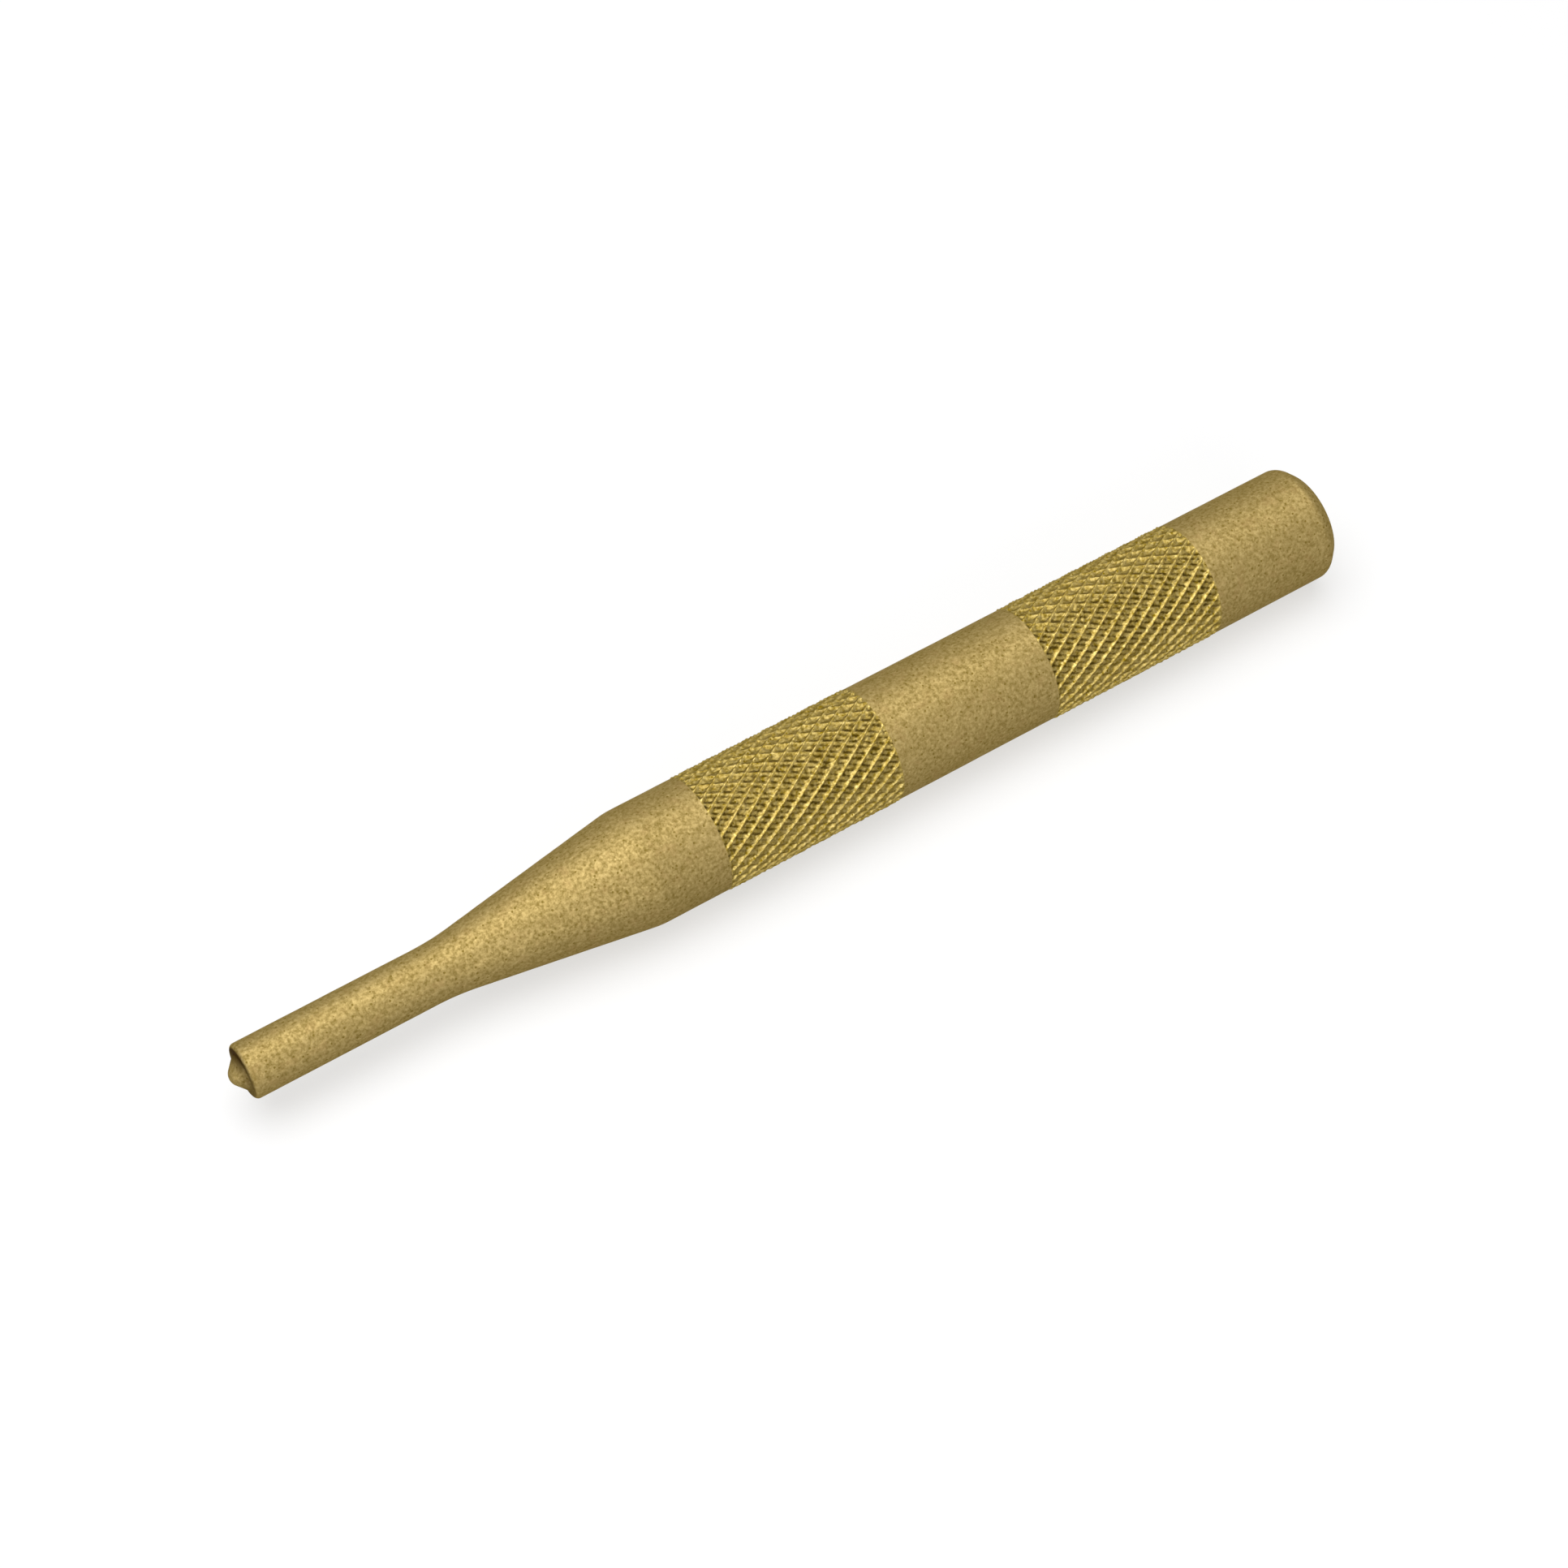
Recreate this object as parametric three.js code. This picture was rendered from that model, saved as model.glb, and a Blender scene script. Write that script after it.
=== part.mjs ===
// Pilot punch for roll pins, turned from one round brass bar.
// Millimetres. The punch lies along X on the plane z = 0, driving end towards -X, struck end
// towards +X, with the origin under the middle of its length.
// The bar is divided where its turned sections meet, so each section is a solid of its own.

import * as THREE from 'three';

// Bar, and lengths in order from the driving shoulder to the struck face
const barDiameter = 12.7;
const shankDiameter = 6.0;
const shankLength = 22.5;
const taperLength = 22.0;
const collarLength = 7.8;
const knurlLength = 20.8;
const centreBandLength = 19.3;
const headLength = 16.0;

// Driving end: a nub that centres itself in the bore of a roll pin, on a flat shoulder
const pilotFootDiameter = 4.1;
const pilotHeight = 1.4;
const pilotNoseRadius = 1.3;
const shoulderRimRadius = 0.5;

// Cone: a swept hollow where it leaves the shank, a soft break where it meets the bar
const sweepRadius = 30;
const breakRadius = 10;

// Struck end: a 45 degree bevel whose two edges are softened
const headBevel = 1.4;
const headEdgeRadius = 1.3;

// Diamond knurl: two sets of ridges of opposite hand, raised by rolling
const knurlRidges = 28;
const knurlHelix = THREE.MathUtils.degToRad(31);
const knurlRise = 0.125;
const knurlDepth = 0.45;
const knurlRunOut = 0.25;

// Straight steps in each round of a turned profile, an even number
const stepsPerRound = 4;

// Finishes
const blastedBrass = { color: 0xae9858, roughness: 0.55, metalness: 1 };
const knurledBrass = { color: 0xb39a48, roughness: 0.45, metalness: 1 };

// Radii and angles that follow
const barRadius = barDiameter / 2;
const shankRadius = shankDiameter / 2;
const pilotFootRadius = pilotFootDiameter / 2;
const crestRadius = barRadius + knurlRise;
const pitRadius = crestRadius - knurlDepth;
const taperAngle = Math.atan2(barRadius - shankRadius, taperLength);

// Stations along the bar, from the driving shoulder
const sweepStart = shankLength - sweepRadius * Math.tan(taperAngle / 2);
const taperEnd = shankLength + taperLength;
const breakEnd = taperEnd + breakRadius * Math.tan(taperAngle / 2);
const frontKnurlStart = taperEnd + collarLength;
const frontKnurlEnd = frontKnurlStart + knurlLength;
const rearKnurlStart = frontKnurlEnd + centreBandLength;
const rearKnurlEnd = rearKnurlStart + knurlLength;
const struckFace = rearKnurlEnd + headLength;

// Two flats to each ridge, on every section, so that all rings line up and a flat lies underneath
const sides = 2 * knurlRidges;
const sideAngle = (2 * Math.PI) / sides;
const firstAngle = sideAngle / 2;

// A point of a turned profile, by its place along the bar and its distance from the axis
function at(along, radius) {
  return new THREE.Vector2(radius, along);
}

// Goes on along a profile round a corner, tangent to the lines before and after it
function roundCorner(path, corner, next, radius) {
  const back = path.currentPoint.clone().sub(corner).normalize();
  const ahead = next.clone().sub(corner).normalize();
  const halfAngle = back.angleTo(ahead) / 2;
  const tangentLength = radius / Math.tan(halfAngle);
  const middle = back.clone().add(ahead).normalize();
  const centre = corner.clone().addScaledVector(middle, radius / Math.sin(halfAngle));
  const first = corner.clone().addScaledVector(back, tangentLength).sub(centre);
  const last = corner.clone().addScaledVector(ahead, tangentLength).sub(centre);
  const clockwise = first.cross(last) < 0;
  path.absarc(centre.x, centre.y, radius, first.angle(), last.angle(), clockwise);
}

// Turns a profile, which runs from the axis back to the axis, into a solid along X
function turned(path) {
  const points = path.getPoints(stepsPerRound / 2);
  return new THREE.LatheGeometry(points, sides, firstAngle).rotateZ(-Math.PI / 2);
}

// A plain round length of bar
function plainLength(start, end, radius) {
  return turned(new THREE.Path([at(start, 0), at(start, radius), at(end, radius), at(end, 0)]));
}

// Driving end: the flank of the nub leaves its round nose on a tangent and runs out on the shoulder
function pilotTip() {
  const noseCentre = pilotNoseRadius - pilotHeight;
  const footDistance = Math.hypot(pilotFootRadius, noseCentre);
  const footAngle = Math.atan2(-noseCentre, pilotFootRadius);
  const tangentAngle = footAngle - Math.acos(pilotNoseRadius / footDistance);
  const path = new THREE.Path();
  path.absarc(0, noseCentre, pilotNoseRadius, -Math.PI / 2, tangentAngle);
  path.lineTo(pilotFootRadius, 0);
  roundCorner(path, at(0, shankRadius), at(shankLength, shankRadius), shoulderRimRadius);
  path.lineTo(0, shoulderRimRadius);
  return turned(path);
}

// Cone between shank and bar, with its swept start and its soft end
function taper() {
  const shankCorner = at(shankLength, shankRadius);
  const barCorner = at(taperEnd, barRadius);
  const path = new THREE.Path([at(sweepStart, 0), at(sweepStart, shankRadius)]);
  roundCorner(path, shankCorner, barCorner, sweepRadius);
  roundCorner(path, barCorner, at(struckFace, barRadius), breakRadius);
  path.lineTo(0, breakEnd);
  return turned(path);
}

// Struck end: plain bar, bevel and flat face
function strikingHead() {
  const bevelStart = at(struckFace - headBevel, barRadius);
  const bevelEnd = at(struckFace, barRadius - headBevel);
  const faceCentre = at(struckFace, 0);
  const path = new THREE.Path([at(rearKnurlEnd, 0), at(rearKnurlEnd, barRadius)]);
  roundCorner(path, bevelStart, bevelEnd, headEdgeRadius);
  roundCorner(path, bevelEnd, faceCentre, headEdgeRadius);
  path.lineTo(faceCentre.x, faceCentre.y);
  return turned(path);
}

// Knurled band: crests where the two sets of ridges cross, pits in the diamonds between them
function knurledBand(start, end) {
  const ridgeSpacing = (Math.PI * barDiameter) / knurlRidges;
  const rowSpacing = ridgeSpacing / Math.tan(knurlHelix) / 2;
  const rows = Math.floor((end - start - 2 * knurlRunOut) / rowSpacing);
  const firstRow = (start + end - rows * rowSpacing) / 2;
  const positions = [];
  const triangles = [];

  function addRing(along, radiusOf) {
    for (let side = 0; side < sides; side += 1) {
      const angle = firstAngle + side * sideAngle;
      const radius = radiusOf(side);
      positions.push(along, -radius * Math.sin(angle), radius * Math.cos(angle));
    }
  }

  addRing(start, () => barRadius);
  for (let row = 0; row <= rows; row += 1) {
    addRing(firstRow + row * rowSpacing, (side) => ((row + side) % 2 ? pitRadius : crestRadius));
  }
  addRing(end, () => barRadius);

  const rings = rows + 3;
  const startCentre = rings * sides;
  const endCentre = startCentre + 1;
  positions.push(start, 0, 0, end, 0, 0);

  for (let side = 0; side < sides; side += 1) {
    const nextSide = (side + 1) % sides;
    for (let ring = 0; ring < rings - 1; ring += 1) {
      const here = ring * sides + side;
      const beside = ring * sides + nextSide;
      const hereAhead = here + sides;
      const besideAhead = beside + sides;
      // Each ridge runs from crest to crest, so that is where the diagonal lies
      if ((ring + side) % 2) {
        triangles.push(here, beside, besideAhead, here, besideAhead, hereAhead);
      } else {
        triangles.push(here, beside, hereAhead, beside, besideAhead, hereAhead);
      }
    }
    const lastRing = (rings - 1) * sides;
    triangles.push(startCentre, nextSide, side);
    triangles.push(endCentre, lastRing + side, lastRing + nextSide);
  }

  const geometry = new THREE.BufferGeometry();
  geometry.setAttribute('position', new THREE.Float32BufferAttribute(positions, 3));
  geometry.setIndex(triangles);
  geometry.computeVertexNormals();
  return geometry;
}

// One named section of the bar
function section(name, geometry, finish) {
  const mesh = new THREE.Mesh(geometry, new THREE.MeshStandardMaterial(finish));
  mesh.name = name;
  return mesh;
}

// The bar lies on the flats between the crests of its knurled bands
const bar = new THREE.Group();
bar.position.set((pilotHeight - struckFace) / 2, 0, crestRadius * Math.cos(sideAngle / 2));
bar.add(
  section('pilot_tip', pilotTip(), blastedBrass),
  section('drive_shank', plainLength(shoulderRimRadius, sweepStart, shankRadius), blastedBrass),
  section('taper', taper(), blastedBrass),
  section('front_collar', plainLength(breakEnd, frontKnurlStart, barRadius), blastedBrass),
  section('front_knurl', knurledBand(frontKnurlStart, frontKnurlEnd), knurledBrass),
  section('centre_band', plainLength(frontKnurlEnd, rearKnurlStart, barRadius), blastedBrass),
  section('rear_knurl', knurledBand(rearKnurlStart, rearKnurlEnd), knurledBrass),
  section('striking_head', strikingHead(), blastedBrass),
);

const punch = new THREE.Group();
punch.name = 'pilot_punch';
punch.add(bar);

export default punch;
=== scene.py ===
# %% [markdown]
# # A brass pilot punch
# This lesson dresses a small hand tool, a punch that drives roll pins, turned in one go from a
# round brass bar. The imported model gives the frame, in metres, and every piece made here stands
# for one turned section of that bar. The bar lies along X, with its driving end towards -X.

# %% Load the frame
import math

import bmesh
import bpy
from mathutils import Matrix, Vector


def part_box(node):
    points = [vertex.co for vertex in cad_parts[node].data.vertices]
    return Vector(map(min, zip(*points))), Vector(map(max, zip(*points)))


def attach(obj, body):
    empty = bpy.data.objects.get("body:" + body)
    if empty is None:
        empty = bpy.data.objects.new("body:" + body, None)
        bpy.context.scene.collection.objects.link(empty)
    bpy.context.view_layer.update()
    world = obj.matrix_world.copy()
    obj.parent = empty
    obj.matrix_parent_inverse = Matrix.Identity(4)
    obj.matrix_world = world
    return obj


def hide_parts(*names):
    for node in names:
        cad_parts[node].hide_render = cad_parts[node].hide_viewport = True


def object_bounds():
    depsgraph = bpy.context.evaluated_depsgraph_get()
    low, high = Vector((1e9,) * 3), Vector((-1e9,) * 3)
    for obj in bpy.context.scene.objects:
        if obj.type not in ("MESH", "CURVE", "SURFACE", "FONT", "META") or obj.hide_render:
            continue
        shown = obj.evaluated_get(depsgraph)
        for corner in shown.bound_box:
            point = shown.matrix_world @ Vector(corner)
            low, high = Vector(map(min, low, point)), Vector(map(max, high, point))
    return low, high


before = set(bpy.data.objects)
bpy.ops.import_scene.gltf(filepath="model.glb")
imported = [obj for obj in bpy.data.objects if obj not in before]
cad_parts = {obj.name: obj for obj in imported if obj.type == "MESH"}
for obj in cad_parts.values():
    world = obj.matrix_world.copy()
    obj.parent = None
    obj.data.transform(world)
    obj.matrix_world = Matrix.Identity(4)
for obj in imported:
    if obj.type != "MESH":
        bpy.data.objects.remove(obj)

MM = 0.001
cad_low, cad_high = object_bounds()
print("CAD box in mm:", [round(side / MM, 3) for side in cad_high - cad_low])

# %% [markdown]
# ## The camera
# The punch was photographed from above and from its driving end, with a long lens, so the bar
# hardly gets thinner towards the back. A lens is the focal length in pixels, divided by the
# picture's width and multiplied by the sensor's width.

# %% Camera
PICTURE_WIDTH = 1932
FOCAL_PIXELS = 5016
SENSOR_WIDTH = 36.0
VIEW_AZIMUTH = math.radians(-32.85)
VIEW_ELEVATION = math.radians(53.8)
VIEW_DISTANCE = 417.0 * MM
VIEW_AIM = Vector((-0.405, 1.433, 5.192)) * MM
CLIP_RANGE = (0.01, 20.0)


def direction(azimuth, elevation):
    """From the object towards a place on the sky: azimuth 0 is -Y, and 90 degrees is +X."""
    level = math.cos(elevation)
    return Vector((math.sin(azimuth) * level, -math.cos(azimuth) * level, math.sin(elevation)))


to_camera = direction(VIEW_AZIMUTH, VIEW_ELEVATION)
camera_data = bpy.data.cameras.new("photo_camera")
camera_data.sensor_width = SENSOR_WIDTH
camera_data.lens = FOCAL_PIXELS / PICTURE_WIDTH * SENSOR_WIDTH
camera_data.clip_start, camera_data.clip_end = CLIP_RANGE
camera = bpy.data.objects.new("photo_camera", camera_data)
camera.location = VIEW_AIM + to_camera * VIEW_DISTANCE
camera.rotation_euler = (-to_camera).to_track_quat("-Z", "Y").to_euler()
bpy.context.scene.collection.objects.link(camera)
bpy.context.scene.camera = camera
print("lens in mm:", round(camera_data.lens, 2))

# %% [markdown]
# ## Nodes from code
# Every shape and every finish below is a tree of nodes. A few small helpers keep the trees
# readable: one places a node and feeds its inputs, one gives a node's first output, two do a sum
# on numbers or on vectors, and one starts a group with named sockets.

# %% Helpers for nodes
def feed(tree, socket, value):
    """Links an output to a socket, or sets the socket's own value."""
    if isinstance(value, bpy.types.NodeSocket):
        tree.links.new(value, socket)
    else:
        socket.default_value = value


def place(tree, kind, feeds=(), **settings):
    """Adds a node, sets its options and feeds its inputs, by name or in order."""
    node = tree.nodes.new(kind)
    for name, value in settings.items():
        setattr(node, name, value)
    if isinstance(feeds, dict):
        pairs = [(node.inputs[name], value) for name, value in feeds.items()]
    else:
        pairs = zip([socket for socket in node.inputs if socket.enabled], feeds)
    for socket, value in pairs:
        feed(tree, socket, value)
    return node


def value_of(tree, kind, feeds=(), **settings):
    """The first output in use of a new node."""
    node = place(tree, kind, feeds, **settings)
    return next(socket for socket in node.outputs if socket.enabled)


def sums(tree, operation, *values):
    """One Math node's answer."""
    return value_of(tree, "ShaderNodeMath", values, operation=operation)


def vectors(tree, operation, *values):
    """One Vector Math node's answer."""
    return value_of(tree, "ShaderNodeVectorMath", values, operation=operation)


def new_tree(name, kind, inputs, outputs):
    """A node group with named sockets, and the sockets of its input and output nodes."""
    tree = bpy.data.node_groups.new(name, kind)
    for in_out, sockets in (("INPUT", inputs), ("OUTPUT", outputs)):
        for socket_name, socket_kind in sockets:
            socket_type = "NodeSocket" + socket_kind
            tree.interface.new_socket(socket_name, in_out=in_out, socket_type=socket_type)
    group_inputs = tree.nodes.new("NodeGroupInput").outputs
    group_outputs = tree.nodes.new("NodeGroupOutput").inputs
    return tree, group_inputs, group_outputs


print("node helpers ready")

# %% [markdown]
# ## The white room
# Metal shows what is round it more than its own colour, so the surroundings come before the
# finish. The bar lies on a white sheet in a white room. Light Path tells the world which rays come
# from the camera or from a reflection, and those see plain white. As a light the room is kept
# weak, so that the lamps shape the bar.

# %% World
WHITE = (1.0, 1.0, 1.0, 1.0)
WORLD_LIGHT = 0.2


def seen_directly(tree):
    """1 for rays from the camera, from a reflection or through glass, and 0 for other light."""
    rays = place(tree, "ShaderNodeLightPath").outputs
    seen = sums(tree, "MAXIMUM", rays["Is Camera Ray"], rays["Is Glossy Ray"])
    return sums(tree, "MAXIMUM", seen, rays["Is Transmission Ray"])


world = bpy.data.worlds.new("white_room")
world.use_nodes = True
room = world.node_tree
room.nodes.clear()
room_light = value_of(room, "ShaderNodeBackground", {"Color": WHITE, "Strength": WORLD_LIGHT})
room_white = value_of(room, "ShaderNodeBackground", {"Color": WHITE, "Strength": 1.0})
room_seen = value_of(room, "ShaderNodeMixShader", [seen_directly(room), room_light, room_white])
place(room, "ShaderNodeOutputWorld", [room_seen])
bpy.context.scene.world = world
print("world light:", WORLD_LIGHT)

# %% [markdown]
# ## The floor
# The white sheet keeps a soft shadow, which shows that the bar lies on it. To look as white as the
# room, the sheet adds a glow to its own lit surface, again only for rays from the camera or from a
# reflection. The camera sees more glow far from the bar, where the lamps no longer reach.

# %% Floor
FLOOR_SIDE = 8.0
FLOOR_COLOUR = (0.38, 0.38, 0.38, 1.0)
FLOOR_GLOW = 0.6
FAR_GLOW = 0.4
NEAR_FLOOR = 0.2
FAR_FLOOR = 0.9

half = FLOOR_SIDE / 2
floor_corners = [(-half, -half, 0), (half, -half, 0), (half, half, 0), (-half, half, 0)]
floor_mesh = bpy.data.meshes.new("floor")
floor_mesh.from_pydata(floor_corners, [], [(0, 1, 2, 3)])
floor = bpy.data.objects.new("floor", floor_mesh)
bpy.context.scene.collection.objects.link(floor)

paper = bpy.data.materials.new("white_paper")
paper.use_nodes = True
sheet = paper.node_tree
sheet.nodes.clear()
lit = value_of(sheet, "ShaderNodeBsdfDiffuse", {"Color": FLOOR_COLOUR})
glow_strength = sums(sheet, "MULTIPLY", seen_directly(sheet), FLOOR_GLOW)
from_middle = place(sheet, "ShaderNodeTexCoord").outputs["Object"]
distance = vectors(sheet, "LENGTH", from_middle)
far_feeds = {"Value": distance, "From Min": NEAR_FLOOR, "From Max": FAR_FLOOR, "To Max": FAR_GLOW}
far_glow = value_of(sheet, "ShaderNodeMapRange", far_feeds)
camera_ray = place(sheet, "ShaderNodeLightPath").outputs["Is Camera Ray"]
glow_strength = sums(sheet, "ADD", glow_strength, sums(sheet, "MULTIPLY", far_glow, camera_ray))
glow = value_of(sheet, "ShaderNodeEmission", {"Color": WHITE, "Strength": glow_strength})
lit_and_glow = value_of(sheet, "ShaderNodeAddShader", [lit, glow])
place(sheet, "ShaderNodeOutputMaterial", [lit_and_glow])
floor_mesh.materials.append(paper)
print("floor side in m:", FLOOR_SIDE)

# %% [markdown]
# ## Lamps
# One large soft lamp overhead gives the bar its broad highlight along the top. It stands a little
# towards the driving end, which leaves the struck end slightly darker. A weaker lamp low in front
# lifts the near side, so the ridges of the knurl shine there too, and a small one beyond the
# driving end reaches the nub, which faces away from the other two.

# %% Lamps
OVERHEAD_PLACE = (-0.07, 0.06, 0.6)
OVERHEAD_SIDE = 0.7
OVERHEAD_RADIANCE = 2.9
FRONT_PLACE = (-0.2, -0.7, 0.28)
FRONT_SIDE = 0.5
FRONT_RADIANCE = 2.4
END_PLACE = (-0.75, -0.25, 0.15)
END_SIDE = 0.35
END_RADIANCE = 2.5


def soft_light(name, place_at, side, radiance):
    """A square lamp that faces the origin, as bright to look at as its radiance says."""
    data = bpy.data.lights.new(name, "AREA")
    data.shape = "SQUARE"
    data.size = side
    data.energy = radiance * math.pi * side ** 2
    lamp = bpy.data.objects.new(name, data)
    lamp.location = place_at
    lamp.rotation_euler = (-Vector(place_at)).to_track_quat("-Z", "Y").to_euler()
    bpy.context.scene.collection.objects.link(lamp)
    print(name, "watts:", round(data.energy, 2))


soft_light("overhead_light", OVERHEAD_PLACE, OVERHEAD_SIDE, OVERHEAD_RADIANCE)
soft_light("front_light", FRONT_PLACE, FRONT_SIDE, FRONT_RADIANCE)
soft_light("end_light", END_PLACE, END_SIDE, END_RADIANCE)
bpy.context.scene.view_settings.view_transform = "Standard"

# %% [markdown]
# ## Small textures
# The finishes and the shapes below share a few small textures. A noise gives soft hills and
# hollows, and a swing lets it run above and below 0. A ramp turns a value into a smooth step, and
# spots set a round dot in some of the cells of a Voronoi pattern. Each helper adds its nodes to
# the tree that it is given, so it serves materials and Geometry Nodes alike.

# %% Noise, steps and spots
NOISE_MIDDLE = 0.5
SPOT_CORE = 0.4
CHOICE_EDGE = 0.1


def noise(tree, position, scale, detail=2.0, roughness=0.5):
    """Soft noise between 0 and 1."""
    feeds = {"Vector": position, "Scale": scale, "Detail": detail, "Roughness": roughness}
    return value_of(tree, "ShaderNodeTexNoise", feeds)


def swing(tree, value, reach):
    """A noise moved so that it swings about 0, and scaled by its reach."""
    return sums(tree, "MULTIPLY", sums(tree, "SUBTRACT", value, NOISE_MIDDLE), reach)


def ramp(tree, value, low, high, to_low=0.0, to_high=1.0):
    """A smooth step: one value at the low limit and another at the high limit."""
    feeds = {"Value": value, "From Min": low, "From Max": high, "To Min": to_low, "To Max": to_high}
    return value_of(tree, "ShaderNodeMapRange", feeds, interpolation_type="SMOOTHSTEP")


def spots(tree, position, scale, reach, share):
    """Round spots, one to a Voronoi cell, in about that share of the cells."""
    cells = place(tree, "ShaderNodeTexVoronoi", {"Vector": position, "Scale": scale}).outputs
    pick = value_of(tree, "ShaderNodeSeparateColor", [cells["Color"]])
    chosen = ramp(tree, pick, 1.0 - share, 1.0 - share + CHOICE_EDGE)
    return sums(tree, "MULTIPLY", ramp(tree, cells["Distance"], reach, reach * SPOT_CORE), chosen)


print("texture helpers ready")

# %% [markdown]
# ## The grain of blasted brass
# The turned lengths were blasted or tumbled, which leaves a fine grain: small dents that hold
# dirt, with bright high spots between them. The grain is one node group that reads Object
# coordinates, so it runs on without a break from one section of the bar to the next. A noise
# makes the grain, and two sets of Voronoi spots add the dark dots and painted glints: bright
# specks in the colour that stand in for light caught by tilted facets.

# %% Grain group
FINE_DETAIL = 3.0
FINE_ROUGHNESS = 0.65
DOTS_PER_GRAIN = 0.85
DOT_REACH = 0.34
DOT_SHARE = 0.2
DOT_DEPTH = 0.3
DOT_DARKNESS = 1.4
GLINTS_PER_GRAIN = 0.7
GLINT_REACH = 0.22
GLINT_SHARE = 0.35
PAINTED_GLINT_BRIGHTNESS = 0.45
MIDDLE_BRIGHTNESS = 0.5

grain, grain_in, grain_out = new_tree(
    "blast_grain", "ShaderNodeTree",
    [("Position", "Vector"), ("Grain Size", "Float"), ("Contrast", "Float")],
    [("Height", "Float"), ("Brightness", "Float")])
grain_place = grain_in["Position"]
per_grain = sums(grain, "DIVIDE", 1.0, grain_in["Grain Size"])
fine = noise(grain, grain_place, per_grain, FINE_DETAIL, FINE_ROUGHNESS)
dot_scale = sums(grain, "MULTIPLY", per_grain, DOTS_PER_GRAIN)
dots = spots(grain, grain_place, dot_scale, DOT_REACH, DOT_SHARE)
glint_scale = sums(grain, "MULTIPLY", per_grain, GLINTS_PER_GRAIN)
painted_glints = spots(grain, grain_place, glint_scale, GLINT_REACH, GLINT_SHARE)

dented = sums(grain, "SUBTRACT", fine, sums(grain, "MULTIPLY", dots, DOT_DEPTH))
feed(grain, grain_out["Height"], dented)
bright = swing(grain, fine, grain_in["Contrast"])
# Painted glints: bright specks laid into the colour, in place of light caught by tilted facets.
bright = sums(grain, "ADD", bright, sums(grain, "MULTIPLY", painted_glints, PAINTED_GLINT_BRIGHTNESS))
bright = sums(grain, "SUBTRACT", bright, sums(grain, "MULTIPLY", dots, DOT_DARKNESS))
feed(grain, grain_out["Brightness"], sums(grain, "ADD", bright, MIDDLE_BRIGHTNESS))
print("grain group nodes:", len(grain.nodes))

# %% [markdown]
# ## The tone of the brass
# Handled brass is never one colour. This group mixes a dark and a light brass by the grain, drifts
# between them in soft patches a few millimetres wide, turns some patches warmer, and last of all
# lays a painted shade colour where a piece carries painted shade in its own point attribute.

# %% Tone group
PATCH_STRENGTH = 0.2
WARM_PATCH_SHARE = (0.5, 0.8)
WARM_STRENGTH = 0.35
WARM_PATCH_SCALE = 2.0
ELSEWHERE = (0.31, 0.17, 0.53)


def blended(tree, factor, first, second):
    """A mix of two colours."""
    return value_of(tree, "ShaderNodeMix", [factor, first, second], data_type="RGBA")


tone, tone_in, tone_out = new_tree(
    "brass_tone", "ShaderNodeTree",
    [("Position", "Vector"), ("Patch Size", "Float"), ("Brightness", "Float"), ("Painted Shade", "Float"),
     ("Dark", "Color"), ("Light", "Color"), ("Warm", "Color"), ("Painted Shade Colour", "Color")],
    [("Color", "Color")])
per_patch = sums(tone, "DIVIDE", 1.0, tone_in["Patch Size"])
patch = swing(tone, noise(tone, tone_in["Position"], per_patch), PATCH_STRENGTH)
lightness = sums(tone, "ADD", tone_in["Brightness"], patch)
brass = blended(tone, lightness, tone_in["Dark"], tone_in["Light"])

elsewhere = vectors(tone, "ADD", tone_in["Position"], ELSEWHERE)
warm_patch = noise(tone, elsewhere, sums(tone, "MULTIPLY", per_patch, WARM_PATCH_SCALE))
warmth = ramp(tone, warm_patch, *WARM_PATCH_SHARE, 0.0, WARM_STRENGTH)
brass = blended(tone, warmth, brass, tone_in["Warm"])
# Painted shade: the colour darkens where the piece's point attribute asks for it.
brass = blended(tone, tone_in["Painted Shade"], brass, tone_in["Painted Shade Colour"])
feed(tone, tone_out["Color"], brass)
print("tone group nodes:", len(tone.nodes))

# %% [markdown]
# ## Two finishes from one maker
# The punch is one metal with two skins, so both finishes come from one function and differ only in
# its values. Each is a single metal shader. The two groups drive its colour, its roughness and its
# bump, and the values that never vary are set on the shader itself.

# %% One maker for both finishes
PAINTED_SHADE = "painted_shade"
GLOSS_SHARE = (0.2, 0.8)


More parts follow.
